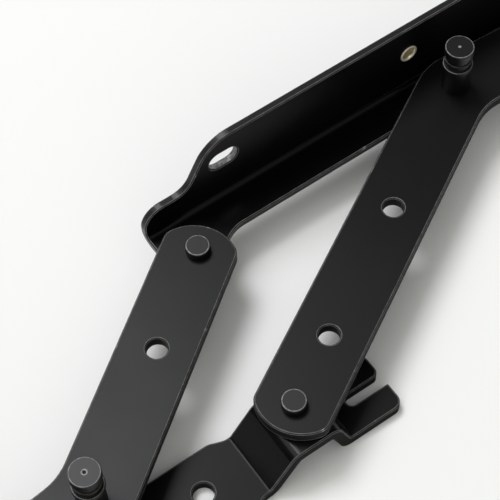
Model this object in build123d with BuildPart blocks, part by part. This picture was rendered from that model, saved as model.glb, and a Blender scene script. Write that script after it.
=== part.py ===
from build123d import *
import os
from math import asin, atan2, cos, degrees, radians, sin, sqrt, tan

# Sofa bed hinge: a base bracket, an angle rail and two elbowed links on four rivets
# All sizes in millimetres, +X along the base and the rail, +Z up
# The origin is under the middle of the base bracket, halfway between its two pivots

os.makedirs("parts", exist_ok=True)

# Linkage
pivot_spacing = 160.0       # between the two rivets of the base, and of the rail
rail_advance = 7.3          # the rail's near rivet stands this far along X past the base's
rail_standoff = 63.0        # distance in Y from the base's rivet line to the rail's

# Links
link_width = 25.0
link_thickness = 4.0
link_end_reach = 9.6        # from the rivet to the crown of a link's end
link_crown_radius = 15.4
link_end_corner = 5.0
elbow_inner_radius = 20.0
elbow_outer_radius = 22.0
link_edge_break = 0.4
link_hole_diameter = 7.0
link_hole_break = 0.4
short_arm = 91.3            # rail pivot to elbow
short_elbow_rise = 9.3      # from the base's rivet line to the elbow
short_hole_reach = 37.7     # from the rail pivot
long_arm = 133.5            # base pivot to elbow
long_elbow_rise = 3.45      # from the rail's rivet line to the elbow
long_hole_near = 26.5       # from the base pivot
long_hole_far = 78.5

# Base bracket
base_sheet = 4.0
base_bend_inside = 1.2
pad_rise = 12.0             # rise of the pad over the plate
pad_inner_reach = 8.6       # from the rivet to the pad's edge towards the middle
pad_outer_reach = 8.1       # from the rivet to the pad's edge towards the tab
ramp_inner_run = 9.4
ramp_outer_run = 4.5
tab_reach = 33.4            # from the rivet to the end of the tab
strip_axis = -1.5           # the strip's centre line in Y
strip_width = 22.6
plate_width = 26.4
shoulder_inset = 2.0        # the plate narrows this far before the ramp
shoulder_run = 5.0
shoulder_radius = 6.0
tab_corner = 3.5
tab_slot_width = 4.3
tab_slot_depth = 14.7
tab_slot_axis = -2.1
tab_mouth_radius = 2.5      # on the slot's +Y side
base_hole_diameter = 7.0
base_hole_spacing = 89.6
base_hole_axis = -1.1
base_edge_break = 0.4

# Angle rail
rail_sheet = 2.5
rail_bend_inside = 2.0
rail_length = 215.0
rail_edge_inset = 3.3       # from the rivet line to the lower flange's free edge
rail_upright_inset = 16.8   # from the rivet line to the upright flange
rail_height = 32.0
lobe_radius = 9.5
lobe_blend = 12.5
step_height = 13.8          # height of the rail over its near rivet
step_foot_reach = 16.9      # from the rail's end to the foot of the step
step_slope = 61.5
step_top_radius = 14.0
step_foot_radius = 8.0
step_end_radius = 7.5
far_corner_radius = 6.0
rail_slot_length = 11.0
rail_slot_height = 7.2
rail_slot_inset = 31.8      # from each end of the rail
rail_slot_rise = 20.8       # over the rail's underside
rail_hole_rise = 18.9
bush_diameter = 6.4
bush_bore = 5.0
bush_lip_diameter = 7.4
bush_lip_height = 0.35
rail_edge_break = 0.4

# Rivets and washers
rivet_head_diameter = 8.2
rivet_head_height = 3.0
rivet_head_break = 0.5
rivet_shank_diameter = 5.0
rivet_tail_diameter = 7.4
rivet_tail_height = 2.0
rivet_tail_break = 0.7
spacer_diameter = 9.6
spacer_thickness = 1.0
tail_washer_diameter = 9.0
tail_washer_thickness = 0.8
pivot_clearance = 0.05      # radial, shank to link
seat_clearance = 0.02       # radial, shank to sheet and washers, spigot to link
axial_play = 0.1            # under and over each link

# Spring posts
stud_height = 20.4
stud_body_diameter = 9.4
stud_ring_base = 10.6       # over the link
stud_ring_diameter = 10.4
stud_ring_height = 1.6
stud_groove_diameter = 8.4
stud_rib_base = 14.0        # over the link
stud_rib_diameter = 9.3
stud_rib_height = 1.0
stud_head_diameter = 9.9
stud_head_height = 3.2
stud_head_break = 0.4
stud_spigot_diameter = 6.0
stud_mark_diameter = 1.3
stud_mark_depth = 0.5

# Heights of the stack
pad_top = pad_rise + base_sheet
rail_top = pad_top
rail_bottom = rail_top - rail_sheet
link_bottom = pad_top + spacer_thickness + axial_play
link_top = link_bottom + link_thickness
head_bottom = link_top + axial_play


def polar(length, angle):
    """Vector in the plan, at an angle in degrees from +X."""
    return Vector(length * cos(radians(angle)), length * sin(radians(angle)))


# Places in the plan
short_arm_angle = degrees(asin((rail_standoff - short_elbow_rise) / short_arm))
long_arm_angle = degrees(asin((rail_standoff + long_elbow_rise) / long_arm))
base_near = Vector(pivot_spacing / 2, 0)
base_far = Vector(-pivot_spacing / 2, 0)
rail_near = base_near + Vector(rail_advance, rail_standoff)
rail_far = rail_near + Vector(pivot_spacing, 0)
short_elbow = rail_near - polar(short_arm, short_arm_angle)
short_hole = rail_near - polar(short_hole_reach, short_arm_angle)
long_elbow = base_near + polar(long_arm, long_arm_angle)
long_hole_1 = base_near + polar(long_hole_near, long_arm_angle)
long_hole_2 = base_near + polar(long_hole_far, long_arm_angle)


def beside(pivot, elbow, out, across):
    """Point near a link's pivot: out past it, and across to the left of that direction."""
    outward = (pivot - elbow).normalized()
    return pivot + outward * out + outward.rotate(Axis.Z, 90) * across


def mitre(start, elbow, end, across):
    """Corner of a link's edge, at a distance to the left of its centre line."""
    arriving = (elbow - start).normalized()
    leaving = (end - elbow).normalized()
    half_turn = arriving.get_angle(leaving) / 2
    left = (arriving + leaving).normalized().rotate(Axis.Z, 90)
    return elbow + left * (across / cos(radians(half_turn)))


def link_face(start, elbow, end):
    """Elbowed bar with crowned ends, seen from above."""
    half = link_width / 2
    tip = link_end_reach - link_crown_radius + sqrt(link_crown_radius**2 - half**2)
    turns_left = (elbow - start).cross(end - elbow).Z > 0
    left, right = mitre(start, elbow, end, half), mitre(start, elbow, end, -half)
    inner, outer = (left, right) if turns_left else (right, left)
    start_tips = [beside(start, elbow, tip, half), beside(start, elbow, tip, -half)]
    end_tips = [beside(end, elbow, tip, half), beside(end, elbow, tip, -half)]
    with BuildSketch() as face:
        with BuildLine():
            Polyline(start_tips[1], left, end_tips[0])
            ThreePointArc(end_tips[0], beside(end, elbow, link_end_reach, 0), end_tips[1])
            Polyline(end_tips[1], right, start_tips[0])
            ThreePointArc(start_tips[0], beside(start, elbow, link_end_reach, 0), start_tips[1])
        make_face()
        fillet(face.vertices().sort_by_distance(inner)[0], elbow_inner_radius)
        fillet(face.vertices().sort_by_distance(outer)[0], elbow_outer_radius)
        for tip_point in start_tips + end_tips:
            fillet(face.vertices().sort_by_distance(tip_point)[0], link_end_corner)
    return face.sketch


short_face = link_face(rail_near, short_elbow, base_far)
long_face = link_face(base_near, long_elbow, rail_far)

# Short link
with BuildPart() as short_link:
    with BuildSketch(Plane.XY.offset(link_bottom)):
        add(short_face)
    extrude(amount=link_thickness)
    chamfer(short_link.faces().sort_by(Axis.Z)[-1].edges(), link_edge_break)
    with BuildSketch(Plane.XY.offset(link_bottom)):
        with Locations(rail_near, base_far):
            Circle(rivet_shank_diameter / 2 + pivot_clearance)
        with Locations(short_elbow):
            Circle(stud_spigot_diameter / 2 + seat_clearance)
        with Locations(short_hole):
            Circle(link_hole_diameter / 2)
    extrude(amount=link_thickness, mode=Mode.SUBTRACT)
    rims = short_link.edges().filter_by(GeomType.CIRCLE)
    chamfer(rims.sort_by_distance(short_hole + Vector(0, 0, link_top))[0], link_hole_break)
short_link.part.label = "short_link"
export_step(short_link.part, "parts/short_link.step")

# Long link
with BuildPart() as long_link:
    with BuildSketch(Plane.XY.offset(link_bottom)):
        add(long_face)
    extrude(amount=link_thickness)
    chamfer(long_link.faces().sort_by(Axis.Z)[-1].edges(), link_edge_break)
    with BuildSketch(Plane.XY.offset(link_bottom)):
        with Locations(base_near, rail_far):
            Circle(rivet_shank_diameter / 2 + pivot_clearance)
        with Locations(long_elbow):
            Circle(stud_spigot_diameter / 2 + seat_clearance)
        with Locations(long_hole_1, long_hole_2):
            Circle(link_hole_diameter / 2)
    extrude(amount=link_thickness, mode=Mode.SUBTRACT)
    for hole in (long_hole_1, long_hole_2):
        rims = long_link.edges().filter_by(GeomType.CIRCLE)
        chamfer(rims.sort_by_distance(hole + Vector(0, 0, link_top))[0], link_hole_break)
long_link.part.label = "long_link"
export_step(long_link.part, "parts/long_link.step")

# Base bracket: the half on the +X side, then its mirror image
plate_level = base_sheet / 2
pad_level = pad_rise + base_sheet / 2
inner_slope = degrees(atan2(pad_rise, ramp_inner_run))
outer_slope = degrees(atan2(pad_rise, ramp_outer_run))
inner_shift = base_sheet / 2 * tan(radians(inner_slope / 2))
outer_shift = base_sheet / 2 * tan(radians(outer_slope / 2))
pad_inner = base_near.X - pad_inner_reach
pad_outer = base_near.X + pad_outer_reach
tab_end = base_near.X + tab_reach
ramp_foot = pad_inner - ramp_inner_run
shoulder = ramp_foot - shoulder_inset
slot_centre = tab_end - tab_slot_depth + tab_slot_width / 2
with BuildPart() as base_bracket:
    with BuildSketch(Plane.XZ.offset(-strip_axis - plate_width / 2)):
        with BuildLine():
            FilletPolyline(
                (0, plate_level),
                (ramp_foot + inner_shift, plate_level),
                (pad_inner + inner_shift, pad_level),
                (pad_outer - outer_shift, pad_level),
                (pad_outer + ramp_outer_run - outer_shift, plate_level),
                (tab_end, plate_level),
                radius=base_bend_inside + base_sheet / 2,
            )
        trace(line_width=base_sheet)
    extrude(amount=plate_width)
    with BuildSketch(Plane((0, strip_axis, 0))) as plan:
        with BuildLine():
            Polyline(
                (0, plate_width / 2),
                (shoulder - shoulder_run, plate_width / 2),
                (shoulder, strip_width / 2),
                (tab_end, strip_width / 2),
                (tab_end, -strip_width / 2),
                (shoulder, -strip_width / 2),
                (shoulder - shoulder_run, -plate_width / 2),
                (0, -plate_width / 2),
                close=True,
            )
        make_face()
        columns = plan.vertices().group_by(Axis.X)
        fillet(columns[1] + columns[2], shoulder_radius)
        fillet(plan.vertices().group_by(Axis.X)[-1], tab_corner)
    extrude(amount=pad_top, mode=Mode.INTERSECT)
    with BuildSketch(Plane((slot_centre, tab_slot_axis, 0))):
        Circle(tab_slot_width / 2)
        Rectangle(tab_slot_depth, tab_slot_width, align=(Align.MIN, Align.CENTER))
    extrude(amount=pad_top, mode=Mode.SUBTRACT)
    mouth = (tab_end, tab_slot_axis + tab_slot_width / 2, base_sheet / 2)
    fillet(base_bracket.edges().filter_by(Axis.Z).sort_by_distance(mouth)[0], tab_mouth_radius)
    with BuildSketch():
        with Locations((base_hole_spacing / 2, base_hole_axis)):
            Circle(base_hole_diameter / 2)
        with Locations(base_near):
            Circle(rivet_shank_diameter / 2 + seat_clearance)
    extrude(amount=pad_top, mode=Mode.SUBTRACT)
    pad_edges = base_bracket.edges().filter_by(Axis.X).filter_by_position(Axis.Z, pad_top, pad_top)
    chamfer(pad_edges, base_edge_break)
    rims = base_bracket.edges().filter_by(GeomType.CIRCLE)
    chamfer(
        rims.sort_by_distance((base_hole_spacing / 2, base_hole_axis, base_sheet))[0],
        base_edge_break,
    )
    mirror(about=Plane.YZ)
base_bracket.part.label = "base_bracket"
export_step(base_bracket.part, "parts/base_bracket.step")

# Angle rail: bent section, stepped end, then a lobe under each rivet
rail_start = rail_near.X - lobe_radius
rail_end = rail_start + rail_length
rail_edge = rail_near.Y + rail_edge_inset
rail_inner = rail_near.Y + rail_upright_inset
rail_outer = rail_inner + rail_sheet
bend_start = rail_inner - rail_bend_inside
neck_reach = sqrt(lobe_radius**2 - rail_edge_inset**2)
rail_crest = rail_bottom + rail_height
step_level = rail_bottom + step_height
step_foot = rail_start + step_foot_reach
step_head = step_foot + (rail_crest - step_level) / tan(radians(step_slope))
slot_level = rail_bottom + rail_slot_rise
bush_level = rail_bottom + rail_hole_rise
rail_middle = (rail_start + rail_end) / 2
with BuildPart() as angle_rail:
    with BuildSketch(Plane.YZ.offset(rail_start)):
        with BuildLine():
            FilletPolyline(
                (rail_edge, rail_bottom + rail_sheet / 2),
                (rail_inner + rail_sheet / 2, rail_bottom + rail_sheet / 2),
                (rail_inner + rail_sheet / 2, rail_crest),
                radius=rail_bend_inside + rail_sheet / 2,
            )
        trace(line_width=rail_sheet)
    extrude(amount=rail_length)
    with BuildSketch(Plane.XZ.offset(-rail_outer)) as side:
        with BuildLine():
            Polyline(
                (rail_start, rail_bottom),
                (rail_start, step_level),
                (step_foot, step_level),
                (step_head, rail_crest),
                (rail_end, rail_crest),
                (rail_end, rail_bottom),
                close=True,
            )
        make_face()
        fillet(side.vertices().sort_by_distance((rail_start, step_level))[0], step_end_radius)
        fillet(side.vertices().sort_by_distance((step_foot, step_level))[0], step_foot_radius)
        fillet(side.vertices().sort_by_distance((step_head, rail_crest))[0], step_top_radius)
        fillet(side.vertices().sort_by_distance((rail_end, rail_crest))[0], far_corner_radius)
    extrude(amount=rail_outer - rail_edge, mode=Mode.INTERSECT)
    with BuildSketch(Plane.XY.offset(rail_bottom)) as lobes:
        with Locations((rail_start, rail_edge)):
            Rectangle(rail_length, bend_start - rail_edge, align=(Align.MIN, Align.MIN))
        with Locations(rail_near, rail_far):
            Circle(lobe_radius)
        with Locations(rail_near):
            Rectangle(lobe_radius, bend_start - rail_near.Y, align=(Align.MAX, Align.MIN))
        for neck in (rail_near.X + neck_reach, rail_far.X - neck_reach, rail_far.X + neck_reach):
            fillet(lobes.vertices().sort_by_distance((neck, rail_edge))[0], lobe_blend)
    extrude(amount=rail_sheet)
    with BuildSketch(Plane.XY.offset(rail_bottom)):
        with Locations(rail_near, rail_far):
            Circle(rivet_shank_diameter / 2 + seat_clearance)
    extrude(amount=rail_sheet, mode=Mode.SUBTRACT)
    with BuildSketch(Plane.XZ.offset(-rail_outer)):
        with Locations((rail_start + rail_slot_inset, slot_level), (rail_end - rail_slot_inset, slot_level)):
            SlotOverall(rail_slot_length, rail_slot_height)
        with Locations((rail_middle, bush_level)):
            Circle(bush_diameter / 2)
    extrude(amount=rail_sheet, mode=Mode.SUBTRACT)
    crest_edges = angle_rail.edges().filter_by(Axis.X).filter_by_position(Axis.Z, rail_crest, rail_crest)
    chamfer(crest_edges.sort_by(Axis.Y)[0], rail_edge_break)
    upright_sides = angle_rail.faces().filter_by(Axis.Y).sort_by(SortBy.AREA)[-2:]
    rims = upright_sides.sort_by(Axis.Y)[0].inner_wires().sort_by(Axis.X)
    chamfer(rims[0].edges() + rims[-1].edges(), rail_edge_break)
angle_rail.part.label = "angle_rail"
export_step(angle_rail.part, "parts/angle_rail.step")

# Eyelet in the round hole of the upright flange
with BuildPart() as rail_bush:
    with BuildSketch(Plane((rail_middle, rail_outer, bush_level), x_dir=(1, 0, 0), z_dir=(0, -1, 0))):
        Circle(bush_diameter / 2)
    extrude(amount=rail_sheet)
    with BuildSketch(Plane((rail_middle, rail_inner, bush_level), x_dir=(1, 0, 0), z_dir=(0, -1, 0))):
        Circle(bush_lip_diameter / 2)
    extrude(amount=bush_lip_height)
    with BuildSketch(Plane((rail_middle, rail_outer, bush_level), x_dir=(1, 0, 0), z_dir=(0, -1, 0))):
        Circle(bush_bore / 2)
    extrude(amount=rail_sheet + bush_lip_height, mode=Mode.SUBTRACT)
    chamfer(rail_bush.edges().filter_by(GeomType.CIRCLE).sort_by(Axis.Y)[:2], bush_lip_height / 2)
rail_bush.part.label = "rail_bush"
export_step(rail_bush.part, "parts/rail_bush.step")

# Rivets with their washers: a flat head over the link, a closed tail under the sheet
stacks = {
    "rail_near": (rail_near, rail_top, rail_bottom),
    "rail_far": (rail_far, rail_top, rail_bottom),
    "base_near": (base_near, pad_top, pad_rise),
    "base_far": (base_far, pad_top, pad_rise),
}
for place, (pivot, seat, underside) in stacks.items():
    spindle = Axis((pivot.X, pivot.Y, 0), (0, 0, 1))
    shank = rivet_shank_diameter / 2
    head = rivet_head_diameter / 2
    tail = rivet_tail_diameter / 2
    head_top = head_bottom + rivet_head_height
    tail_top = underside - tail_washer_thickness
    tail_bottom = tail_top - rivet_tail_height
    with BuildPart() as rivet:
        with BuildSketch(Plane(pivot, x_dir=(1, 0, 0), z_dir=(0, -1, 0))):
            with BuildLine():
                Polyline(
                    (0, head_top),
                    (head - rivet_head_break, head_top),
                    (head, head_top - rivet_head_break),
                    (head, head_bottom),
                    (shank, head_bottom),
                    (shank, tail_top),
                    (tail, tail_top),
                    (tail, tail_bottom + rivet_tail_break),
                    (tail - rivet_tail_break, tail_bottom),
                    (0, tail_bottom),
                    close=True,
                )
            make_face()
        revolve(axis=spindle)
    rivet.part.label = f"rivet_{place}"
    export_step(rivet.part, f"parts/rivet_{place}.step")

    with BuildPart() as spacer:
        with BuildSketch(Plane((pivot.X, pivot.Y, seat))):
            Circle(spacer_diameter / 2)
            Circle(shank + seat_clearance, mode=Mode.SUBTRACT)
        extrude(amount=spacer_thickness)
    spacer.part.label = f"spacer_{place}"
    export_step(spacer.part, f"parts/spacer_{place}.step")

    with BuildPart() as tail_washer:
        with BuildSketch(Plane((pivot.X, pivot.Y, tail_top))):
            Circle(tail_washer_diameter / 2)
            Circle(shank + seat_clearance, mode=Mode.SUBTRACT)
        extrude(amount=tail_washer_thickness)
    tail_washer.part.label = f"tail_washer_{place}"
    export_step(tail_washer.part, f"parts/tail_washer_{place}.step")

# Spring posts on the elbows: body, ring, ribbed groove and head, with a spigot in the link
for side, elbow in {"short": short_elbow, "long": long_elbow}.items():
    post = Axis((elbow.X, elbow.Y, 0), (0, 0, 1))
    spigot = stud_spigot_diameter / 2
    body = stud_body_diameter / 2
    ring = stud_ring_diameter / 2
    groove = stud_groove_diameter / 2
    rib = stud_rib_diameter / 2
    crown = stud_head_diameter / 2
    ring_top = stud_ring_base + stud_ring_height
    rib_top = stud_rib_base + stud_rib_height
    head_base = stud_height - stud_head_height
    with BuildPart() as stud:
        with BuildSketch(Plane((elbow.X, elbow.Y, link_top), x_dir=(1, 0, 0), z_dir=(0, -1, 0))):
            with BuildLine():
                Polyline(
                    (0, -link_thickness),
                    (spigot, -link_thickness),
                    (spigot, 0),
                    (body, 0),
                    (body, stud_ring_base),
                    (ring, stud_ring_base),
                    (ring, ring_top),
                    (groove, ring_top),
                    (groove, stud_rib_base),
                    (rib, stud_rib_base),
                    (rib, rib_top),
                    (groove, rib_top),
                    (groove, head_base),
                    (crown, head_base),
                    (crown, stud_height - stud_head_break),
                    (crown - stud_head_break, stud_height),
                    (stud_mark_diameter / 2, stud_height),
                    (0, stud_height - stud_mark_depth),
                    close=True,
                )
            make_face()
        revolve(axis=post)
    stud.part.label = f"{side}_stud"
    export_step(stud.part, f"parts/{side}_stud.step")
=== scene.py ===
"""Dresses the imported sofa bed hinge.

It gets satin black paint, turned rivets and spring posts, a brass eyelet and a pale studio.
"""

import math

import bpy
from bpy.props import FloatProperty, FloatVectorProperty, IntProperty, PointerProperty
from mathutils import Matrix, Vector


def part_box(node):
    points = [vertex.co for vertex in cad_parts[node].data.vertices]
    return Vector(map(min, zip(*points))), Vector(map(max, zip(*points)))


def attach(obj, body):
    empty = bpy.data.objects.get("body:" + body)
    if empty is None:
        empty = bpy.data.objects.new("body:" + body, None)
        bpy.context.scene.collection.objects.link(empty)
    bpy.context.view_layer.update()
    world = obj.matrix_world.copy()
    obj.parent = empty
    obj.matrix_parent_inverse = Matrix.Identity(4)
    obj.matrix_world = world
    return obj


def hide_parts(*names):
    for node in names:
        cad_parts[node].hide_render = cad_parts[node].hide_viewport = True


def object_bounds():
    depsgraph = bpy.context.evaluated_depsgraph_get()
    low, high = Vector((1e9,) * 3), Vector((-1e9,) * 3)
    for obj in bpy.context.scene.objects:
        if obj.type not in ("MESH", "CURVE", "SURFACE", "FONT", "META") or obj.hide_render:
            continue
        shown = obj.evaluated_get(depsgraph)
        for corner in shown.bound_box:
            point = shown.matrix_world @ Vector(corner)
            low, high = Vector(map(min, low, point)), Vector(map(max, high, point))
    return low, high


bl_info = {
    "name": "Sofa Bed Hinge Finish",
    "version": (1, 0, 0),
    "blender": (4, 5, 0),
    "location": "View3D > Sidebar > Hinge",
    "description": "Paints the hinge, turns its rivets, posts and eyelet, and sets up a studio",
    "category": "Object",
}

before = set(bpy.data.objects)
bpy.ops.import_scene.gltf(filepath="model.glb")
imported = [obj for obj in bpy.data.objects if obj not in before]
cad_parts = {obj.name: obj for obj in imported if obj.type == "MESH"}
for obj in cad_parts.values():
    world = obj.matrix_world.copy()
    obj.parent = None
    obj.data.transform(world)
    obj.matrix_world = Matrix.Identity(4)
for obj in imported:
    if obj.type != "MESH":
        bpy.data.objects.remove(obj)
cad_low, cad_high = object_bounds()

# Rivets by the body that they ride on, each named by the end of its node's name
RIVET_PLACES = {"rail": ("rail_near", "rail_far"), "base": ("base_near", "base_far")}
# Spring posts by the link's body that each rides on
POST_BODIES = {"short_stud": "short_arm", "long_stud": "long_arm"}
# Size of the lathe centre's mark in each post's head, 1 for a whole one
POST_MARKS = {"short_stud": 1.0, "long_stud": 0.3}


def centre_of(node):
    """Middle of a CAD node's box, in metres."""
    low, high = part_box(node)
    return (low + high) / 2


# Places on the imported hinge, in metres
LINK_BOTTOM, LINK_TOP = (corner.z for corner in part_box("short_link"))
RAIL_LOW, RAIL_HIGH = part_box("angle_rail")
RAIL_SHEET = 0.0025
SLOT_DROP = 0.0112  # from the rail's crest down to the middle of its slots
SLOT_INSETS = (0.0318, 0.1832)  # from the rail's end to the middle of each slot
SLOT_CENTRES = [
    (RAIL_LOW.x + inset, RAIL_HIGH.y - RAIL_SHEET / 2, RAIL_HIGH.z - SLOT_DROP)
    for inset in SLOT_INSETS
]
SLOT_REACH = (0.0068, 0.0072)  # just past a slot's wall, where its lighter colour ends: bare steel with a painted reflection
CREST_FOOT = LINK_TOP  # the flange's edge is lighter from here up: a painted highlight with a little wear
CREST_BLEND = 0.001  # height over which that lighter colour sets in


# Sizes and colours that a user can change


class PaintSettings(bpy.types.PropertyGroup):
    """Satin black paint of the bent and flat sheet parts."""

    colour: FloatVectorProperty(
        name="Paint Colour",
        description="Colour of the satin black paint",
        subtype="COLOR",
        size=3,
        min=0.0,
        max=1.0,
        default=(0.003, 0.003, 0.0029),
    )
    roughness: FloatProperty(
        name="Roughness",
        description="Mean roughness of the paint film",
        subtype="FACTOR",
        min=0.0,
        max=1.0,
        default=0.36,
    )
    bend_roughness: FloatProperty(
        name="Bend Roughness",
        description="Roughness where the sheet is bent and the film is drawn smooth",
        subtype="FACTOR",
        min=0.0,
        max=1.0,
        default=0.16,
    )
    cut_roughness: FloatProperty(
        name="Cut Roughness",
        description="Roughness of the blanked edges of the links and the bracket",
        subtype="FACTOR",
        min=0.0,
        max=1.0,
        default=0.75,
    )
    gloss: FloatProperty(
        name="Gloss",
        description="Strength of the paint's reflection, 0.5 for a clear glossy film",
        subtype="FACTOR",
        min=0.0,
        max=1.0,
        default=0.20,
    )
    soft_edge: FloatProperty(
        name="Soft Edge",
        description="Radius over which the paint flows round an edge",
        unit="LENGTH",
        default=0.00045,
    )
    # Lighter colour along the edges: a painted highlight, with some wear
    edge_wear_and_highlight_colour: FloatVectorProperty(
        name="Edge Colour",
        description="Colour of the paint where it is rubbed thin along an edge",
        subtype="COLOR",
        size=3,
        min=0.0,
        max=1.0,
        default=(0.26, 0.26, 0.26),
    )
    chip_colour: FloatVectorProperty(
        name="Chip Colour",
        description="Colour of the bare steel in the few chips along an edge",
        subtype="COLOR",
        size=3,
        min=0.0,
        max=1.0,
        default=(0.60, 0.60, 0.60),
    )
    peel_size: FloatProperty(
        name="Peel Size",
        description="Width of one wave of the paint's orange peel",
        unit="LENGTH",
        default=0.0011,
    )
    peel_depth: FloatProperty(
        name="Peel Depth",
        description="Depth of the orange peel",
        unit="LENGTH",
        default=0.000006,
    )
    grain_size: FloatProperty(
        name="Grain Size",
        description="Width of the paint's fine grain",
        unit="LENGTH",
        default=0.00022,
    )


class SteelSettings(bpy.types.PropertyGroup):
    """Blackened turned steel of the rivets and posts."""

    colour: FloatVectorProperty(
        name="Steel Colour",
        description="Colour of the blackened steel",
        subtype="COLOR",
        size=3,
        min=0.0,
        max=1.0,
        default=(0.0035, 0.0035, 0.0034),
    )
    roughness: FloatProperty(
        name="Roughness",
        description="Mean roughness of the turned surface",
        subtype="FACTOR",
        min=0.0,
        max=1.0,
        default=0.38,
    )
    gloss: FloatProperty(
        name="Gloss",
        description="Strength of the steel's reflection, 0.5 for a clear glossy film",
        subtype="FACTOR",
        min=0.0,
        max=1.0,
        default=0.31,
    )
    # Lighter colour along the edges: a painted highlight, with some wear
    edge_wear_and_highlight_colour: FloatVectorProperty(
        name="Edge Colour",
        description="Colour of the steel where its black film is rubbed thin along an edge",
        subtype="COLOR",
        size=3,
        min=0.0,
        max=1.0,
        default=(0.26, 0.26, 0.26),
    )
    ring_spacing: FloatProperty(
        name="Ring Spacing",
        description="Distance between the fine turning marks",
        unit="LENGTH",
        default=0.00025,
    )


class RivetSettings(bpy.types.PropertyGroup):
    """Flat-headed pivot rivets with a formed tail."""

    head_diameter: FloatProperty(
        name="Head Diameter",
        description="Diameter of the rivet's head",
        unit="LENGTH",
        default=0.0082,
    )
    head_height: FloatProperty(
        name="Head Height",
        description="Height of the head over the link",
        unit="LENGTH",
        default=0.0030,
    )
    head_round: FloatProperty(
        name="Head Rounding",
        description="Radius at the head's upper edge",
        unit="LENGTH",
        default=0.0005,
    )
    shank_diameter: FloatProperty(
        name="Shank Diameter",
        description="Diameter of the rivet's shank",
        unit="LENGTH",
        default=0.0050,
    )
    tail_diameter: FloatProperty(
        name="Tail Diameter",
        description="Diameter of the formed tail",
        unit="LENGTH",
        default=0.0074,
    )
    tail_height: FloatProperty(
        name="Tail Height",
        description="Height of the formed tail under its washer",
        unit="LENGTH",
        default=0.0020,
    )
    segments: IntProperty(
        name="Segments",
        description="Steps round each turned part",
        default=72,
        min=16,
    )


class PostSettings(bpy.types.PropertyGroup):
    """Grooved spring posts on the links' elbows."""

    body_diameter: FloatProperty(
        name="Body Diameter",
        description="Diameter of the post's plain lower body",
        unit="LENGTH",
        default=0.0094,
    )
    ring_base: FloatProperty(
        name="Ring Base",
        description="Height of the ring's underside over the link",
        unit="LENGTH",
        default=0.0106,
    )
    ring_diameter: FloatProperty(
        name="Ring Diameter",
        description="Diameter of the ring under the groove",
        unit="LENGTH",
        default=0.0104,
    )
    ring_height: FloatProperty(
        name="Ring Height",
        description="Height of the ring",
        unit="LENGTH",
        default=0.0016,
    )
    groove_diameter: FloatProperty(
        name="Groove Diameter",
        description="Diameter at the bottom of the spring groove",
        unit="LENGTH",
        default=0.0084,
    )
    rib_base: FloatProperty(
        name="Rib Base",
        description="Height of the rib in the groove over the link",
        unit="LENGTH",
        default=0.0140,
    )
    rib_diameter: FloatProperty(
        name="Rib Diameter",
        description="Diameter of the rib in the groove",
        unit="LENGTH",
        default=0.0093,
    )
    rib_height: FloatProperty(
        name="Rib Height",
        description="Height of the rib",
        unit="LENGTH",
        default=0.0010,
    )
    head_diameter: FloatProperty(
        name="Head Diameter",
        description="Diameter of the post's head",
        unit="LENGTH",
        default=0.0099,
    )
    head_height: FloatProperty(
        name="Head Height",
        description="Height of the post's head",
        unit="LENGTH",
        default=0.0032,
    )
    spigot_diameter: FloatProperty(
        name="Spigot Diameter",
        description="Diameter of the part that fills the hole in the link",
        unit="LENGTH",
        default=0.0060,
    )
    edge_round: FloatProperty(
        name="Edge Rounding",
        description="Radius at the edges of the head and the ring",
        unit="LENGTH",
        default=0.0004,
    )
    mark_diameter: FloatProperty(
        name="Centre Mark",
        description="Diameter of the lathe centre's mark in the head",
        unit="LENGTH",
        default=0.0014,
    )
    mark_steepness: FloatProperty(
        name="Mark Steepness",
        description="Depth of the lathe centre's mark against its radius",
        default=0.8,
    )


class EyeletSettings(bpy.types.PropertyGroup):
    """Brass eyelet pressed into the rail's round hole."""

    colour: FloatVectorProperty(
        name="Brass Colour",
        description="Colour of the bright brass",
        subtype="COLOR",
        size=3,
        min=0.0,
        max=1.0,
        default=(0.92, 0.86, 0.70),
    )
    # Dark brown of the bore: a painted shade
    bore_shade_colour: FloatVectorProperty(
        name="Bore Colour",
        description="Colour of the browned brass inside the bore",
        subtype="COLOR",
        size=3,
        min=0.0,
        max=1.0,
        default=(0.16, 0.12, 0.05),
    )
    barrel_diameter: FloatProperty(
        name="Barrel Diameter",
        description="Outside diameter of the eyelet's barrel",
        unit="LENGTH",
        default=0.0064,
    )
    bore_diameter: FloatProperty(
        name="Bore Diameter",
        description="Diameter of the eyelet's bore",
        unit="LENGTH",
        default=0.0050,
    )
    lip_diameter: FloatProperty(
        name="Lip Diameter",
        description="Diameter of the rolled lip",
        unit="LENGTH",
        default=0.0066,
    )
    lip_height: FloatProperty(
        name="Lip Height",
        description="Height of the rolled lip over the flange",
        unit="LENGTH",
        default=0.00035,
    )


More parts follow.
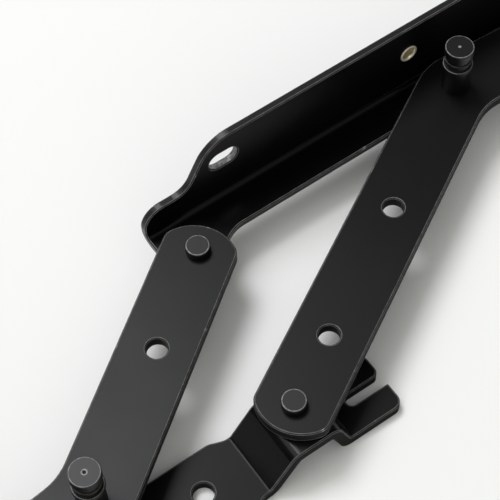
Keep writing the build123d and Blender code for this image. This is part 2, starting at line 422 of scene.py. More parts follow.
class StudioSettings(bpy.types.PropertyGroup):
    """Floor, lights and camera."""

    floor_colour: FloatVectorProperty(
        name="Floor Colour",
        description="Colour of the pale floor",
        subtype="COLOR",
        size=3,
        min=0.0,
        max=1.0,
        default=(0.92, 0.92, 0.92),
    )
    floor_radius: FloatProperty(
        name="Floor Radius",
        description="Radius of the round floor",
        unit="LENGTH",
        default=6.0,
    )
    key_level: FloatProperty(
        name="Key Level",
        description="Brightness that the key light alone gives to a white floor",
        default=0.43,
    )
    key_distance: FloatProperty(
        name="Key Distance",
        description="Distance from the hinge to the key light",
        unit="LENGTH",
        default=1.7,
    )
    key_azimuth: FloatProperty(
        name="Key Azimuth",
        description="Direction of the key light in the plan, from +X",
        subtype="ANGLE",
        default=math.radians(93.0),
    )
    key_elevation: FloatProperty(
        name="Key Elevation",
        description="Height of the key light over the floor",
        subtype="ANGLE",
        default=math.radians(64.0),
    )
    key_angle: FloatProperty(
        name="Key Angle",
        description="Angular width of the key light",
        subtype="ANGLE",
        default=math.radians(24.0),
    )
    side_level: FloatProperty(
        name="Side Panel Level",
        description="Brightness of the narrow panel at the back on the left",
        default=2.4,
    )
    side_azimuth: FloatProperty(
        name="Side Panel Azimuth",
        description="Direction of the side panel in the plan, from +X",
        subtype="ANGLE",
        default=math.radians(140.0),
    )
    side_elevation: FloatProperty(
        name="Side Panel Elevation",
        description="Height of the side panel's middle over the floor",
        subtype="ANGLE",
        default=math.radians(64.0),
    )
    front_level: FloatProperty(
        name="Front Panel Level",
        description="Brightness of the broad dim panel in front",
        default=0.65,
    )
    front_azimuth: FloatProperty(
        name="Front Panel Azimuth",
        description="Direction of the front panel in the plan, from +X",
        subtype="ANGLE",
        default=math.radians(235.0),
    )
    front_elevation: FloatProperty(
        name="Front Panel Elevation",
        description="Height of the front panel's middle over the floor",
        subtype="ANGLE",
        default=math.radians(45.0),
    )
    room_level: FloatProperty(
        name="Room Level",
        description="Brightness of the room between the panels",
        default=0.19,
    )
    horizon_level: FloatProperty(
        name="Horizon Level",
        description="Brightness that the pale horizon adds to the room",
        default=0.34,
    )
    camera_azimuth: FloatProperty(
        name="Camera Azimuth",
        description="Direction in which the camera stands, 0 in front and negative to the left",
        subtype="ANGLE",
        default=math.radians(-32.2),
    )
    camera_elevation: FloatProperty(
        name="Camera Elevation",
        description="Height of the camera over the horizon",
        subtype="ANGLE",
        default=math.radians(58.0),
    )
    camera_roll: FloatProperty(
        name="Camera Roll",
        description="Turn of the camera about its own line of sight",
        subtype="ANGLE",
        default=math.radians(-3.29),
    )
    camera_distance: FloatProperty(
        name="Camera Distance",
        description="Distance from the camera to the point that it looks at",
        unit="LENGTH",
        default=0.524,
    )
    camera_target: FloatVectorProperty(
        name="Camera Target",
        description="Point that the camera looks at",
        subtype="XYZ",
        unit="LENGTH",
        size=3,
        default=(0.1009, 0.0532, 0.0211),
    )
    camera_lens: FloatProperty(
        name="Lens",
        description="Focal length in millimetres on a 36 mm sensor",
        default=117.3,
    )


def heading(azimuth, elevation):
    """Unit vector at an azimuth from +X and an elevation."""
    flat = math.cos(elevation)
    return Vector((flat * math.cos(azimuth), flat * math.sin(azimuth), math.sin(elevation)))


# Node trees


def plug(tree, socket, value):
    """Links an output to a node's input, or sets a plain value on it."""
    if isinstance(value, bpy.types.NodeSocket):
        tree.links.new(value, socket)
    else:
        socket.default_value = value


def feed(tree, node, **inputs):
    """Gives a node its inputs, with _ for each space in their names."""
    for name, value in inputs.items():
        plug(tree, node.inputs[name.replace("_", " ")], value)


def add_node(tree, kind, settings=None, **inputs):
    """A new node with its settings and inputs."""
    node = tree.nodes.new(kind)
    for name, value in (settings or {}).items():
        setattr(node, name, value)
    feed(tree, node, **inputs)
    return node


def worked(tree, operation, *values):
    """The number that an operation makes of numbers, or of two vectors."""
    vectors = operation in ("DOT_PRODUCT", "DISTANCE")
    kind = "ShaderNodeVectorMath" if vectors else "ShaderNodeMath"
    node = add_node(tree, kind, {"operation": operation})
    for socket, value in zip(node.inputs, values):
        plug(tree, socket, value)
    return node.outputs["Value"]


def mapped(tree, value, low, high, start=0.0, end=1.0):
    """value turned from start...end to low...high."""
    node = add_node(
        tree,
        "ShaderNodeMapRange",
        Value=value,
        From_Min=start,
        From_Max=end,
        To_Min=low,
        To_Max=high,
    )
    return node.outputs["Result"]


def part_along(tree, vector, axis):
    """A vector's part along one axis."""
    return add_node(tree, "ShaderNodeSeparateXYZ", Vector=vector).outputs[axis]


# Materials

# Widths of the patterns that break up the finishes, in metres
PAINT_CLOUD = 0.035
EDGE_PATCHES = 0.002
CHIP_PATCHES = 0.0045
WALL_PATCHES = 0.0009
STEEL_CLOUD = 0.004
STEEL_PATCHES = 0.0011
STEEL_GRAIN = 0.00018
BRASS_TARNISH = 0.0016
BRASS_SCRATCHES = 0.00012
NYLON_FLOW = 0.003
NYLON_GRAIN = 0.0003
FLOOR_CLOUD = 0.4

# Depths of the finest relief, in metres
RING_DEPTH = 0.0000012
STEEL_GRAIN_DEPTH = 0.000001
SCRATCH_DEPTH = 0.0000015
NYLON_DEPTH = 0.000004
PEEL_TO_GRAIN = 5  # how many times deeper the paint's orange peel is than its grain

# Part of a noise's range that is stretched over the whole of an effect
NOISE_WIDE = (0.25, 0.75)
NOISE_MIDDLE = (0.3, 0.7)
NOISE_CORE = (0.35, 0.65)
NOISE_PEAKS = (0.685, 0.70)

# Where an edge gets its painted highlight and wear: cosine between its softened and its plain
# normal, and the open air beside it, each from none to the full amount
EDGE_TURN = (1.0, 0.95)
EDGE_AIR = (0.80, 0.97)
EDGE_SAMPLES = 8

# How squarely a face looks along the sheet's axis, from a bend to the flat side, from a cut edge
# to a bend, and from a wall of the rail to its flat side
FLAT_SIDE = (0.985, 0.9995)
CUT_SIDE = (0.15, 0.45)
RAIL_WALL = (0.2, 0.5)

# Tones that a pattern takes a colour through
PAINT_TONES = (0.82, 1.18)
STEEL_TONES = (0.75, 1.3)
BRASS_TONES = (1.0, 0.8)
FLOOR_TONES = (0.985, 1.0)
NYLON_DARK = (0.012, 0.012, 0.012)
NYLON_PALE = (0.020, 0.020, 0.019)

# Shares of the full painted highlight and wear that a pattern goes through, and that of the
# rail's crest
EDGE_PATCHY = (1.0, 0.5)
WALL_PATCHY = (0.15, 0.9)
STEEL_PATCHY = (0.4, 1.0)
CREST_WEAR_AND_HIGHLIGHT = 0.07

# How far a pattern takes the roughness up and down, or from what to what
CLOUD_SWING = 0.035
GRAIN_SWING = 0.03
RING_SWING = 0.03
BRASS_ROUGHNESS = (0.36, 0.50)
NYLON_ROUGHNESS = (0.48, 0.62)
FLOOR_ROUGHNESS = 0.85

FLOOR_GLOSS = 0.1
BRASS_METAL = 0.6
BORE_SHADE = (0.0003, 0.0009)  # depths behind the mouth over which the bore darkens, a painted shade
WAVE_SPACING = math.pi / 10  # between the rings of a wave texture at a scale of 1


def noise(tree, place, width, detail=2.0):
    """Noise whose features have a real width, in metres."""
    node = add_node(tree, "ShaderNodeTexNoise", Vector=place, Scale=1.0 / width, Detail=detail)
    return node.outputs["Fac"]


def blended(tree, amount, film, other):
    """The film's colour, plain or from a node, giving way to a plain colour with amount."""
    if not isinstance(film, bpy.types.NodeSocket):
        film = (*film, 1.0)
    other = (*other, 1.0)
    node = add_node(tree, "ShaderNodeMix", {"data_type": "RGBA"}, Factor=amount, A=film, B=other)
    return node.outputs["Result"]


def clouded(tree, amount, colour, tones):
    """A colour that goes from the first of its tones to the second with amount."""
    first, second = ([tone * c for c in colour] for tone in tones)
    return blended(tree, amount, first, second)


def raised(tree, height, depth, below=None):
    """Normal of a surface that height lifts by up to depth metres."""
    node = add_node(tree, "ShaderNodeBump", Height=height, Distance=depth)
    if below:
        feed(tree, node, Normal=below)
    return node.outputs["Normal"]


def softened(tree, radius):
    """Normal of a surface whose edges and creases are rounded by radius."""
    return add_node(tree, "ShaderNodeBevel", {"samples": EDGE_SAMPLES}, Radius=radius).outputs[0]


def edge_wear_and_highlight(tree, place, radius):
    """How far each point along an outer edge of radius gets a painted highlight with some wear.
    """
    plain = add_node(tree, "ShaderNodeNewGeometry").outputs["Normal"]
    turned = worked(tree, "DOT_PRODUCT", softened(tree, radius), plain)
    air = add_node(
        tree,
        "ShaderNodeAmbientOcclusion",
        {"samples": EDGE_SAMPLES, "only_local": True},
        Distance=2 * radius,
    ).outputs["AO"]
    pattern = noise(tree, place, EDGE_PATCHES, detail=3.0)
    patchy = mapped(tree, pattern, *EDGE_PATCHY, *NOISE_MIDDLE)
    rubbed = worked(tree, "MULTIPLY", mapped(tree, turned, 0.0, 1.0, *EDGE_TURN), patchy)
    return worked(tree, "MULTIPLY", rubbed, mapped(tree, air, 0.0, 1.0, *EDGE_AIR))


def squareness(tree, axis):
    """How squarely each face looks along the piece's own axis, 1 along it and 0 across it."""
    facing = add_node(tree, "ShaderNodeTexCoord").outputs["Normal"]
    return worked(tree, "ABSOLUTE", part_along(tree, facing, axis))


def new_material(name):
    """An empty node material with its shader and object coordinates."""
    material = bpy.data.materials.new(name)
    material.use_nodes = True
    tree = material.node_tree
    place = add_node(tree, "ShaderNodeTexCoord").outputs["Object"]
    return material, tree, tree.nodes["Principled BSDF"], place


def satin_paint(name, settings, lift=1.0, axis="Z", cut=None, face=None, crease=None, sheen=1.0):
    """Satin black paint: orange peel, grain, cloudy gloss, smooth bends and lighter edges, a
    painted highlight with some wear.

    The sheet's flat side looks along axis. lift scales the paint's colour and sheen its
    reflection. cut and face stand in for the usual roughness of the cut edges and the flat
    side, and crease for the radius that the paint flows to in a crease.
    """
    material, tree, shader, place = new_material(name)
    bend = settings.bend_roughness
    cut = settings.cut_roughness if cut is None else cut
    face = settings.roughness if face is None else face
    cloud = noise(tree, place, PAINT_CLOUD, detail=3.0)
    grain = noise(tree, place, settings.grain_size, detail=1.0)
    peel = noise(tree, place, settings.peel_size, detail=1.5)
    # Lighter colour along the outer edges: a painted highlight, with some wear
    rubbed = edge_wear_and_highlight(tree, place, settings.soft_edge)
    film = clouded(tree, cloud, [lift * c for c in settings.colour], PAINT_TONES)
    film = blended(tree, rubbed, film, settings.edge_wear_and_highlight_colour)
    chips = mapped(tree, noise(tree, place, CHIP_PATCHES), 0.0, 1.0, *NOISE_PEAKS)
    chips = worked(tree, "MULTIPLY", rubbed, chips)
    square = squareness(tree, axis)
    roughness = mapped(tree, cloud, -CLOUD_SWING, CLOUD_SWING, *NOISE_WIDE)
    for part in (
        mapped(tree, square, bend, face, *FLAT_SIDE),
        mapped(tree, square, cut - bend, 0.0, *CUT_SIDE),
        mapped(tree, grain, -GRAIN_SWING, GRAIN_SWING),
    ):
        roughness = worked(tree, "ADD", roughness, part)
    surface = softened(tree, crease or settings.soft_edge)
    surface = raised(tree, peel, settings.peel_depth, surface)
    surface = raised(tree, grain, settings.peel_depth / PEEL_TO_GRAIN, surface)
    feed(
        tree,
        shader,
        Base_Color=blended(tree, chips, film, settings.chip_colour),
        Roughness=roughness,
        Normal=surface,
        Specular_IOR_Level=sheen * settings.gloss,
    )
    return material


def rail_edge_wear_and_highlight(material, settings):
    """Lightens the flange's crest, a painted highlight with a little wear, and the slots' punched
    walls, bare steel with a painted reflection.
    """
    tree = material.node_tree
    shader = tree.nodes["Principled BSDF"]
    film = shader.inputs["Base Color"].links[0].from_socket
    place = add_node(tree, "ShaderNodeTexCoord").outputs["Object"]
    wall = mapped(tree, squareness(tree, "Y"), 1.0, 0.0, *RAIL_WALL)
    height = part_along(tree, place, "Z")
    # The crest: a painted highlight, with a little wear
    crest = mapped(tree, height, 0.0, CREST_WEAR_AND_HIGHLIGHT, CREST_FOOT, CREST_FOOT + CREST_BLEND)
    film = blended(tree, worked(tree, "MULTIPLY", wall, crest), film, settings.edge_wear_and_highlight_colour)
    pattern = noise(tree, place, WALL_PATCHES, detail=3.0)
    wall = worked(tree, "MULTIPLY", wall, mapped(tree, pattern, *WALL_PATCHY, *NOISE_CORE))
    # The slots' walls: bare steel, lightened further as a painted reflection
    for centre in SLOT_CENTRES:
        away = worked(tree, "DISTANCE", place, centre)
        bare_steel_and_reflection = worked(tree, "MULTIPLY", mapped(tree, away, 1.0, 0.0, *SLOT_REACH), wall)
        film = blended(tree, bare_steel_and_reflection, film, settings.edge_wear_and_highlight_colour)
    feed(tree, shader, Base_Color=film)


def turned_steel(name, settings):
    """Blackened turned steel: fine rings round each part's own axis under a satin coat."""
    material, tree, shader, place = new_material(name)
    turning = add_node(tree, "ShaderNodeAttribute", {"attribute_name": "turning"})
    wear_and_highlight_input = add_node(tree, "ShaderNodeAttribute", {"attribute_name": "rubbed"})
    rings = add_node(
        tree,
        "ShaderNodeTexWave",
        {"wave_type": "RINGS", "rings_direction": "Z"},
        Vector=turning.outputs["Vector"],
        Scale=WAVE_SPACING / settings.ring_spacing,
        Distortion=1.2,
        Detail=1.0,
    ).outputs["Fac"]
    cloud = noise(tree, place, STEEL_CLOUD, detail=3.0)
    grain = noise(tree, place, STEEL_GRAIN, detail=1.0)
    patchy = mapped(tree, noise(tree, place, STEEL_PATCHES), *STEEL_PATCHY, *NOISE_CORE)
    # Lighter colour on the edges and the centre mark: a painted highlight, with some wear
    rubbed = worked(tree, "MULTIPLY", wear_and_highlight_input.outputs["Fac"], patchy)
    coat = clouded(tree, cloud, settings.colour, STEEL_TONES)
    smooth, rough = settings.roughness - RING_SWING, settings.roughness + RING_SWING
    feed(
        tree,
        shader,
        Base_Color=blended(tree, rubbed, coat, settings.edge_wear_and_highlight_colour),
        Roughness=mapped(tree, rings, smooth, rough),
        Normal=raised(tree, grain, STEEL_GRAIN_DEPTH, raised(tree, rings, RING_DEPTH)),
        Specular_IOR_Level=settings.gloss,
    )
    return material


def bright_brass(name, sizes, mouth):
    """Pale bright brass, polished on the lip and darker brown inside the bore behind its mouth, a
    painted shade.
    """
    material, tree, shader, place = new_material(name)
    tarnish = noise(tree, place, BRASS_TARNISH, detail=3.0)
    scratches = noise(tree, place, BRASS_SCRATCHES, detail=1.0)
    film = clouded(tree, tarnish, sizes.colour, BRASS_TONES)
    # Painted shade: the bore darkens behind its mouth
    shade = (mouth + depth for depth in BORE_SHADE)
    deep = mapped(tree, part_along(tree, place, "Y"), 0.0, 1.0, *shade)
    feed(
        tree,
        shader,
        Base_Color=blended(tree, deep, film, sizes.bore_shade_colour),
        Roughness=mapped(tree, tarnish, *BRASS_ROUGHNESS),
        Normal=raised(tree, scratches, SCRATCH_DEPTH),
        Metallic=BRASS_METAL,
    )
    return material


def black_nylon(name):
    """Plain black nylon of the spacers."""
    material, tree, shader, place = new_material(name)
    grain = noise(tree, place, NYLON_GRAIN)
    feed(
        tree,
        shader,
        Base_Color=blended(tree, noise(tree, place, NYLON_FLOW), NYLON_DARK, NYLON_PALE),
        Roughness=mapped(tree, grain, *NYLON_ROUGHNESS),
        Normal=raised(tree, grain, NYLON_DEPTH),
    )
    return material


def give(node, material):
    """Puts one material on a CAD node."""
    slots = node.material_slots
    if not slots:
        raise RuntimeError(f"CAD node {node.name} has no material slot")
    for slot in slots:
        slot.material = material


# Turned parts

ARC_STEPS = 6  # in the arc of a rounded corner
WEAR_AND_HIGHLIGHT_STEP = 3.5  # step of the arc from which its painted highlight and wear set in
GUARD = 0.25  # distance of an arc's guard points against its radius
MERGE_REACH = 0.000001  # closes the seam and the poles, in metres

# Painted highlight and wear of each kind of edge, as a lighter colour
TAIL_WEAR_AND_HIGHLIGHT = 0.3
RING_WEAR_AND_HIGHLIGHT = 0.7
RIB_WEAR_AND_HIGHLIGHT = 0.4
HEAD_WEAR_AND_HIGHLIGHT = 1.0
MARK_RIM_WEAR_AND_HIGHLIGHT = 1.5
MARK_WALL_WEAR_AND_HIGHLIGHT = 2.0
MARK_FLOOR_WEAR_AND_HIGHLIGHT = 3.0

# Shares of a size that are too small to be settings
TAIL_ROUND = 0.35  # rounding of a rivet's tail against its height
LIP_BEAD = 0.6  # rounding of the eyelet's lip against its height
MARK_STEP = 0.7  # where the wall of a post's centre mark has its rub, against its radius


def rounded(corners):
    """Outline through corners (radius, height) as points (radius, height, rub).

    A corner may also have a rounding and an amount of painted highlight and wear. A rounded
    corner is an arc between two guard points, and its last third carries that amount.
    """
    outline = []
    for i, (radius, height, *edge) in enumerate(corners):
        rounding, wear_and_highlight_amount = edge or (0.0, 0.0)
        corner = Vector((radius, height))
        if not rounding:
            outline.append((*corner, wear_and_highlight_amount))
            continue
        before = Vector(corners[i - 1][:2]) - corner
        after = Vector(corners[i + 1][:2]) - corner
        lead, trail = (GUARD * min(rounding, side.length) for side in (before, after))
        half = before.angle(after) / 2
        before.normalize()
        after.normalize()
        back = rounding / math.tan(half)
        start, end = corner + before * back, corner + after * back
        middle = corner + (before + after).normalized() * (rounding / math.sin(half))
        sweep = (end - middle).angle_signed(start - middle)
        outline.append((*(start + before * lead), 0.0))
        for step in range(ARC_STEPS + 1):
            turn = Matrix.Rotation(sweep * step / ARC_STEPS, 2)
            share = min(max(step - WEAR_AND_HIGHLIGHT_STEP, 0.0), 1.0)
            outline.append((*(middle + turn @ (start - middle)), wear_and_highlight_amount * share))
        outline.append((*(end + after * trail), 0.0))
    return outline


def outline_object(name, outline):
    """A bare line of points in the XZ plane with their painted highlight and wear, which the
    lathe tree reads.
    """
    mesh = bpy.data.meshes.new(name)
    points = [(radius, 0.0, height) for radius, height, _ in outline]
    mesh.from_pydata(points, [(i, i + 1) for i in range(len(points) - 1)], [])
    wear_and_highlight_amount = mesh.attributes.new("rubbed", "FLOAT", "POINT")
    wear_and_highlight_amount.data.foreach_set("value", [amount for _, _, amount in outline])
    return bpy.data.objects.new(name, mesh)


def sampled(tree, outline, index, value, data_type):
    """What a field is at one point of the outline."""
    node = add_node(
        tree,
        "GeometryNodeSampleIndex",
        {"data_type": data_type, "domain": "POINT"},
        Geometry=outline,
        Value=value,
        Index=index,
    )
    return node.outputs[0]


def stored(tree, shape, name, value, data_type):
    """The shape with a field kept on its points under a name."""
    node = add_node(
        tree,
        "GeometryNodeStoreNamedAttribute",
        {"data_type": data_type, "domain": "POINT"},
        Geometry=shape,
        Name=name,
        Value=value,
    )
    return node.outputs[0]


def lathe_tree():
    """Geometry Nodes tree that turns an outline round its axis and sets one on each seat."""
    tree = bpy.data.node_groups.new("Turned Part", "GeometryNodeTree")
    face = tree.interface
    face.new_socket("Geometry", in_out="OUTPUT", socket_type="NodeSocketGeometry")
    face.new_socket("Seats", in_out="INPUT", socket_type="NodeSocketGeometry")
    face.new_socket("Outline", in_out="INPUT", socket_type="NodeSocketObject")
    face.new_socket("Segments", in_out="INPUT", socket_type="NodeSocketInt")
    face.new_socket("Turn", in_out="INPUT", socket_type="NodeSocketVector")
    face.new_socket("Finish", in_out="INPUT", socket_type="NodeSocketMaterial")
    inputs = add_node(tree, "NodeGroupInput").outputs
    outline = add_node(
        tree,
        "GeometryNodeObjectInfo",
        {"transform_space": "ORIGINAL"},
        Object=inputs["Outline"],
    ).outputs["Geometry"]

    # A sheet with a column of the outline's points for each step round the axis
    count = add_node(
        tree, "GeometryNodeAttributeDomainSize", {"component": "MESH"}, Geometry=outline
    ).outputs["Point Count"]
    columns = worked(tree, "ADD", inputs["Segments"], 1.0)
    sheet = add_node(tree, "GeometryNodeMeshGrid", Vertices_X=columns, Vertices_Y=count)

    # The point of the outline that each point of the sheet takes, and its turn round the axis
    index = add_node(tree, "GeometryNodeInputIndex").outputs[0]
    point = worked(tree, "MODULO", index, count)
    column = worked(tree, "FLOOR", worked(tree, "DIVIDE", index, count))
    share = worked(tree, "DIVIDE", column, inputs["Segments"])
    angle = worked(tree, "MULTIPLY", share, 2 * math.pi)

    # The sheet rolled up, with its painted highlight and wear, and its own coordinates
    place = add_node(tree, "GeometryNodeInputPosition").outputs[0]
    wear_and_highlight_input = add_node(
        tree, "GeometryNodeInputNamedAttribute", {"data_type": "FLOAT"}, Name="rubbed"
    ).outputs[0]
    wear_and_highlight_amount = sampled(tree, outline, point, wear_and_highlight_input, "FLOAT")
    spot = sampled(tree, outline, point, place, "FLOAT_VECTOR")
    spot = add_node(
        tree, "ShaderNodeVectorRotate", {"rotation_type": "Z_AXIS"}, Vector=spot, Angle=angle
    ).outputs[0]
    shape = stored(tree, sheet.outputs["Mesh"], "rubbed", wear_and_highlight_amount, "FLOAT")
    shape = add_node(tree, "GeometryNodeSetPosition", Geometry=shape, Position=spot).outputs[0]
    shape = add_node(
        tree, "GeometryNodeMergeByDistance", Geometry=shape, Distance=MERGE_REACH
    ).outputs[0]
    shape = stored(tree, shape, "turning", place, "FLOAT_VECTOR")

    # One on each seat
    facing = add_node(tree, "FunctionNodeEulerToRotation", Euler=inputs["Turn"]).outputs[0]
    shape = add_node(
        tree,
        "GeometryNodeInstanceOnPoints",
        Points=inputs["Seats"],
        Instance=shape,
        Rotation=facing,
    ).outputs[0]
    for kind in ("GeometryNodeRealizeInstances", "GeometryNodeSetShadeSmooth"):
        shape = add_node(tree, kind, Geometry=shape).outputs[0]
    shape = add_node(
        tree, "GeometryNodeSetMaterial", Geometry=shape, Material=inputs["Finish"]
    ).outputs[0]
    add_node(tree, "NodeGroupOutput", Geometry=shape)
    return tree


def turn_parts(name, outline, seats, segments, finish, turn=(0.0, 0.0, 0.0)):
    """One plain mesh holding a turned part on each seat."""
    tree = bpy.data.node_groups.get("Turned Part") or lathe_tree()
    points = bpy.data.meshes.new(f"{name}_seats")
    points.from_pydata(seats, [], [])
    maker = bpy.data.objects.new(f"{name}_maker", points)
    bpy.context.scene.collection.objects.link(maker)
    line = outline_object(f"{name}_outline", outline)
    lathe = maker.modifiers.new("Turned Part", "NODES")
    lathe.node_group = tree
    values = {"Outline": line, "Segments": segments, "Turn": turn, "Finish": finish}
    for item in tree.interface.items_tree:
        if item.in_out == "INPUT" and item.name in values:
            lathe[item.identifier] = values[item.name]
    depsgraph = bpy.context.evaluated_depsgraph_get()
    mesh = bpy.data.meshes.new_from_object(maker.evaluated_get(depsgraph))
    mesh.name = name
    maker.modifiers.clear()
    bpy.data.objects.remove(maker)
    bpy.data.objects.remove(line)
    if not mesh.polygons:
        raise RuntimeError(f"{name}: the lathe made no faces")
    piece = bpy.data.objects.new(name, mesh)
    bpy.context.scene.collection.objects.link(piece)
    return piece


# Floor and lights

FLOOR_SIDES = 96
FLOOR_GAP = 0.0001  # under the lowest point of the hinge
SIDE_PANEL = (26.0, 11.0)  # degrees from the panel's middle to its edge and to its bright core
FRONT_PANEL = (58.0, 22.0)
HORIZON_RISE = (0.05, 0.25)  # heights between which the pale horizon fades into the room
ROOM_TINT = (0.995, 1.0, 0.955, 1.0)
KEY_TINT = (0.955, 0.97, 1.0)


# Operators, one for each piece or group of like pieces and one for the stage


class HINGE_OT_paint_links(bpy.types.Operator):
    """Give the two elbowed links their satin black paint"""

    bl_idname = "hinge.paint_links"
    bl_label = "Paint Links"

    def execute(self, context):
        paint = satin_paint("link_paint", context.scene.hinge_paint)
        for name in ("short_link", "long_link"):
            give(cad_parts[name], paint)
        return {"FINISHED"}


class HINGE_OT_paint_rail(bpy.types.Operator):
    """Give the angle rail its satin black paint"""

    bl_idname = "hinge.paint_rail"
    bl_label = "Paint Angle Rail"

    def execute(self, context):
        settings = context.scene.hinge_paint
        paint = satin_paint(
            "rail_paint", settings, lift=0.4, axis="Y", cut=0.22, face=0.38, sheen=0.75
        )
        rail_edge_wear_and_highlight(paint, settings)
        give(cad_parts["angle_rail"], paint)
        return {"FINISHED"}


class HINGE_OT_paint_bracket(bpy.types.Operator):
    """Give the base bracket its satin black paint"""

    bl_idname = "hinge.paint_bracket"
    bl_label = "Paint Base Bracket"

    def execute(self, context):
        paint = satin_paint("bracket_paint", context.scene.hinge_paint, crease=0.0006, sheen=0.7)
        give(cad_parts["base_bracket"], paint)
        return {"FINISHED"}


class HINGE_OT_finish_washers(bpy.types.Operator):
    """Finish the nylon spacers and the steel washers of the four pivots"""

    bl_idname = "hinge.finish_washers"
    bl_label = "Finish Spacers and Washers"

    def execute(self, context):
        nylon = black_nylon("spacer_nylon")
        washer = satin_paint("washer_coat", context.scene.hinge_paint, lift=1.4)
        for places in RIVET_PLACES.values():
            for place in places:
                give(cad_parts[f"spacer_{place}"], nylon)
                give(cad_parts[f"tail_washer_{place}"], washer)
        return {"FINISHED"}


class HINGE_OT_turn_rivets(bpy.types.Operator):
    """Turn the four flat-headed rivets in place of the plain ones"""

    bl_idname = "hinge.turn_rivets"
    bl_label = "Turn Rivets"

    def execute(self, context):
        sizes = context.scene.hinge_rivets
        steel = turned_steel("rivet_steel", context.scene.hinge_steel)
        head = sizes.head_diameter / 2
        shank = sizes.shank_diameter / 2
        tail = sizes.tail_diameter / 2
        for body, places in RIVET_PLACES.items():
            nodes = [f"rivet_{place}" for place in places]
            bottom, top = (corner.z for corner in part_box(nodes[0]))
            head_bottom = top - sizes.head_height
            tail_top = bottom + sizes.tail_height
            outline = rounded(
                [
                    (0.0, bottom),
                    (tail, bottom, TAIL_ROUND * sizes.tail_height, TAIL_WEAR_AND_HIGHLIGHT),
                    (tail, tail_top),
                    (shank, tail_top),
                    (shank, head_bottom),
                    (head, head_bottom),
                    (head, top, sizes.head_round, HEAD_WEAR_AND_HIGHLIGHT),
                    (0.0, top),
                ]
            )
            seats = [(centre_of(node).x, centre_of(node).y, 0.0) for node in nodes]
            rivets = turn_parts(f"{body}_rivets", outline, seats, sizes.segments, steel)
            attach(rivets, body)
            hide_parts(*nodes)
        return {"FINISHED"}


class HINGE_OT_turn_posts(bpy.types.Operator):
    """Turn the grooved spring post of each link's elbow"""

    bl_idname = "hinge.turn_posts"
    bl_label = "Turn Spring Posts"

    def execute(self, context):
        sizes = context.scene.hinge_posts
        steel = turned_steel("post_steel", context.scene.hinge_steel)
        spigot, body = sizes.spigot_diameter / 2, sizes.body_diameter / 2
        ring, groove = sizes.ring_diameter / 2, sizes.groove_diameter / 2
        rib, head = sizes.rib_diameter / 2, sizes.head_diameter / 2
        edge = sizes.edge_round
        slight, sharp = edge / 2, edge / 4
        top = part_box("short_stud")[1].z
        ring_bottom = LINK_TOP + sizes.ring_base
        ring_top = ring_bottom + sizes.ring_height
        rib_bottom = LINK_TOP + sizes.rib_base
        rib_top = rib_bottom + sizes.rib_height
        head_bottom = top - sizes.head_height
        segments = context.scene.hinge_rivets.segments
        for node, arm in POST_BODIES.items():
            mark = POST_MARKS[node] * sizes.mark_diameter / 2
            deep = mark * sizes.mark_steepness
            bare_steel_and_reflection = 1 - POST_MARKS[node]  # a small mark shows bright steel: bare steel with a painted glint
            outline = rounded(
                [
                    (0.0, LINK_BOTTOM),
                    (spigot, LINK_BOTTOM),
                    (spigot, LINK_TOP),
                    (body, LINK_TOP),
                    (body, ring_bottom, sharp, 0.0),
                    (ring, ring_bottom, slight, 0.0),
                    (ring, ring_top, edge, RING_WEAR_AND_HIGHLIGHT),
                    (groove, ring_top, sharp, 0.0),
                    (groove, rib_bottom, sharp, 0.0),
                    (rib, rib_bottom, slight, 0.0),
                    (rib, rib_top, slight, RIB_WEAR_AND_HIGHLIGHT),
                    (groove, rib_top, sharp, 0.0),
                    (groove, head_bottom, sharp, 0.0),
                    (head, head_bottom, slight, 0.0),
                    (head, top, edge, HEAD_WEAR_AND_HIGHLIGHT),
                    (mark + edge, top),
                    # The centre mark's bright rim, wall and floor: a painted glint on bare steel
                    (mark + sharp, top, 0.0, MARK_RIM_WEAR_AND_HIGHLIGHT),
                    (mark, top, 0.0, MARK_RIM_WEAR_AND_HIGHLIGHT),
                    (MARK_STEP * mark, top - (1 - MARK_STEP) * deep, 0.0, MARK_WALL_WEAR_AND_HIGHLIGHT * bare_steel_and_reflection),
                    (0.0, top - deep, 0.0, MARK_FLOOR_WEAR_AND_HIGHLIGHT * bare_steel_and_reflection),
                ]
            )
            seat = centre_of(node)
            post = turn_parts(f"{node}_turned", outline, [(seat.x, seat.y, 0.0)], segments, steel)
            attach(post, arm)
            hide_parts(node)
        return {"FINISHED"}


class HINGE_OT_press_eyelet(bpy.types.Operator):
    """Press the brass eyelet into the rail's round hole"""

    bl_idname = "hinge.press_eyelet"
    bl_label = "Press Eyelet"

    def execute(self, context):
        sizes = context.scene.hinge_eyelet
        low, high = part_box("rail_bush")
        brass = bright_brass("eyelet_brass", sizes, low.y)
        barrel, bore = sizes.barrel_diameter / 2, sizes.bore_diameter / 2
        lip = sizes.lip_diameter / 2
        length = high.y - low.y
        shoulder = length - sizes.lip_height
        bead = sizes.lip_height * LIP_BEAD
        outline = rounded(
            [
                (bore, 0.0),
                (barrel, 0.0),
                (barrel, shoulder),
                (lip, shoulder, bead / 10, 0.0),
                (lip, length, bead, 0.0),
                (bore, length, bead, 0.0),
                (bore, 0.0),
            ]
        )
        eyelet = turn_parts(
            "rail_eyelet",
            outline,
            [((low.x + high.x) / 2, high.y, (low.z + high.z) / 2)],
            context.scene.hinge_rivets.segments,
            brass,
            turn=(math.pi / 2, 0.0, 0.0),
        )
        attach(eyelet, "rail")
        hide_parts("rail_bush")
        return {"FINISHED"}


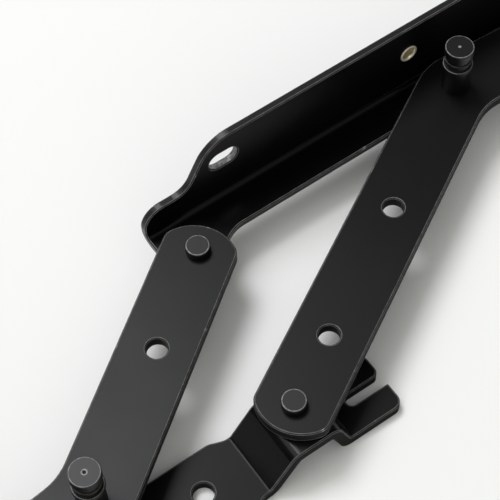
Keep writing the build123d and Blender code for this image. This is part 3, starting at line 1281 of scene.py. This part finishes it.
class HINGE_OT_set_stage(bpy.types.Operator):
    """Lay the pale floor, hang the soft lights and set the camera"""

    bl_idname = "hinge.set_stage"
    bl_label = "Set Stage"

    def execute(self, context):
        studio = context.scene.hinge_studio
        self.lay_floor(context, studio)
        self.light_room(context, studio)
        self.hang_key(context, studio)
        self.place_camera(context, studio)
        return {"FINISHED"}

    def lay_floor(self, context, studio):
        """A round pale floor just under the bracket."""
        mesh = bpy.data.meshes.new("floor")
        ring = []
        for side in range(FLOOR_SIDES):
            spoke = studio.floor_radius * heading(2 * math.pi * side / FLOOR_SIDES, 0.0)
            ring.append((spoke.x, spoke.y, cad_low.z - FLOOR_GAP))
        mesh.from_pydata(ring, [], [list(range(FLOOR_SIDES))])
        floor = bpy.data.objects.new("floor", mesh)
        context.scene.collection.objects.link(floor)
        material, tree, shader, place = new_material("floor_pale")
        tone = noise(tree, place, FLOOR_CLOUD)
        feed(
            tree,
            shader,
            Base_Color=clouded(tree, tone, studio.floor_colour, FLOOR_TONES),
            Roughness=FLOOR_ROUGHNESS,
            Specular_IOR_Level=FLOOR_GLOSS,
        )
        mesh.materials.append(material)

    def light_room(self, context, studio):
        """A dim room with a pale horizon, a narrow bright panel and a broad dim one."""
        world = bpy.data.worlds.new("studio_room")
        context.scene.world = world
        world.use_nodes = True
        tree = world.node_tree
        direction = add_node(tree, "ShaderNodeTexCoord").outputs["Generated"]
        low, high = studio.room_level, studio.room_level + studio.horizon_level
        level = mapped(tree, part_along(tree, direction, "Z"), high, low, *HORIZON_RISE)
        side = heading(studio.side_azimuth, studio.side_elevation)
        front = heading(studio.front_azimuth, studio.front_elevation)
        for middle, brightness, panel in (
            (side, studio.side_level, SIDE_PANEL),
            (front, studio.front_level, FRONT_PANEL),
        ):
            facing = worked(tree, "DOT_PRODUCT", direction, middle)
            edge, core = (math.cos(math.radians(angle)) for angle in panel)
            level = worked(tree, "ADD", level, mapped(tree, facing, 0.0, brightness, edge, core))
        feed(tree, tree.nodes["Background"], Color=ROOM_TINT, Strength=level)

    def hang_key(self, context, studio):
        """The round soft key light, high behind the hinge."""
        towards = heading(studio.key_azimuth, studio.key_elevation)
        light = bpy.data.lights.new("key_light", "AREA")
        light.shape = "DISK"
        light.color = KEY_TINT
        light.size = 2 * studio.key_distance * math.tan(studio.key_angle / 2)
        # A disc of this power brings a white floor under it to the key level
        light.energy = studio.key_level * (math.pi * studio.key_distance) ** 2 / towards.z
        lamp = bpy.data.objects.new("key_light", light)
        context.scene.collection.objects.link(lamp)
        lamp.location = Vector(studio.camera_target) + towards * studio.key_distance
        lamp.rotation_euler = towards.to_track_quat("Z", "Y").to_euler()

    def place_camera(self, context, studio):
        """The camera at the photograph's angle."""
        data = bpy.data.cameras.new("camera")
        data.sensor_width = 36.0
        data.lens = studio.camera_lens
        data.clip_start = 0.01
        data.clip_end = 50.0
        camera = bpy.data.objects.new("camera", data)
        context.scene.collection.objects.link(camera)
        right = heading(studio.camera_azimuth, 0.0)
        back = heading(studio.camera_azimuth - math.pi / 2, studio.camera_elevation)
        axes = Matrix((right, back.cross(right), back)).transposed()
        place = Vector(studio.camera_target) + back * studio.camera_distance
        roll = Matrix.Rotation(studio.camera_roll, 4, "Z")
        camera.matrix_world = Matrix.Translation(place) @ axes.to_4x4() @ roll
        context.scene.camera = camera
        context.scene.view_settings.view_transform = "Standard"


class HINGE_PT_finish(bpy.types.Panel):
    """Buttons and sizes for the hinge's finish"""

    bl_label = "Sofa Bed Hinge"
    bl_idname = "HINGE_PT_finish"
    bl_space_type = "VIEW_3D"
    bl_region_type = "UI"
    bl_category = "Hinge"

    def draw(self, context):
        layout = self.layout
        for operator in OPERATORS:
            layout.operator(operator.bl_idname)
        for title, (settings, group) in SETTINGS.items():
            box = layout.box()
            box.label(text=title)
            for name in group.__annotations__:
                box.prop(getattr(context.scene, settings), name)


OPERATORS = (
    HINGE_OT_paint_links,
    HINGE_OT_paint_rail,
    HINGE_OT_paint_bracket,
    HINGE_OT_finish_washers,
    HINGE_OT_turn_rivets,
    HINGE_OT_turn_posts,
    HINGE_OT_press_eyelet,
    HINGE_OT_set_stage,
)
SETTINGS = {
    "Paint": ("hinge_paint", PaintSettings),
    "Steel": ("hinge_steel", SteelSettings),
    "Rivets": ("hinge_rivets", RivetSettings),
    "Spring Posts": ("hinge_posts", PostSettings),
    "Eyelet": ("hinge_eyelet", EyeletSettings),
    "Studio": ("hinge_studio", StudioSettings),
}
CLASSES = (*(group for _, group in SETTINGS.values()), *OPERATORS, HINGE_PT_finish)


def register():
    for cls in CLASSES:
        bpy.utils.register_class(cls)
    for name, group in SETTINGS.values():
        setattr(bpy.types.Scene, name, PointerProperty(type=group))


def unregister():
    for name, _ in SETTINGS.values():
        delattr(bpy.types.Scene, name)
    for cls in reversed(CLASSES):
        bpy.utils.unregister_class(cls)


def main():
    register()
    bpy.ops.hinge.paint_links()
    bpy.ops.hinge.paint_rail()
    bpy.ops.hinge.paint_bracket()
    bpy.ops.hinge.finish_washers()
    bpy.ops.hinge.turn_rivets()
    bpy.ops.hinge.turn_posts()
    bpy.ops.hinge.press_eyelet()
    bpy.ops.hinge.set_stage()


if __name__ == "__main__":
    main()
